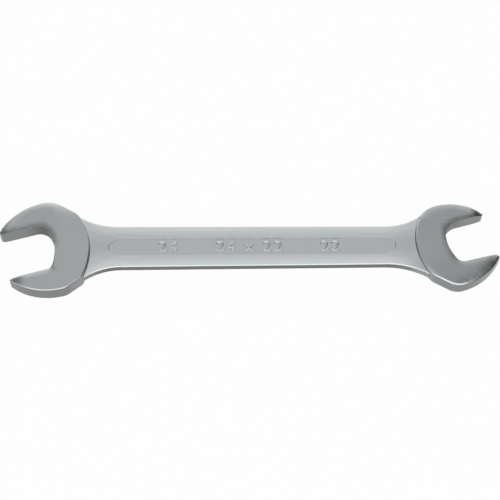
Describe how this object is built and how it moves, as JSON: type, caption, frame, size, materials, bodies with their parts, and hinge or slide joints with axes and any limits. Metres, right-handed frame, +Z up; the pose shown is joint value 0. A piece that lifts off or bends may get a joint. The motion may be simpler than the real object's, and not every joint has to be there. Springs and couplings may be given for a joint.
{
  "type": "open end wrench",
  "caption": "Flat forged wrench with an open jaw at each end, a larger and a smaller one, both turned 15 degrees from a tapered shank with a sunk panel on each face.",
  "frame": {"origin": "middle of the wrench's bounding box on the surface it lies on, under the middle of the shank", "axes": "+X along the shank towards the smaller jaw, +Y across it, +Z up through the thickness. The larger jaw opens towards -X and the smaller towards +X."},
  "size_m": [0.25, 0.0496, 0.0098],
  "materials": {
    "plated_steel": "satin chrome plate over a forged surface"
  },
  "bodies": {
    "root": {"wrench": "plated_steel"}
  },
  "joints": []
}
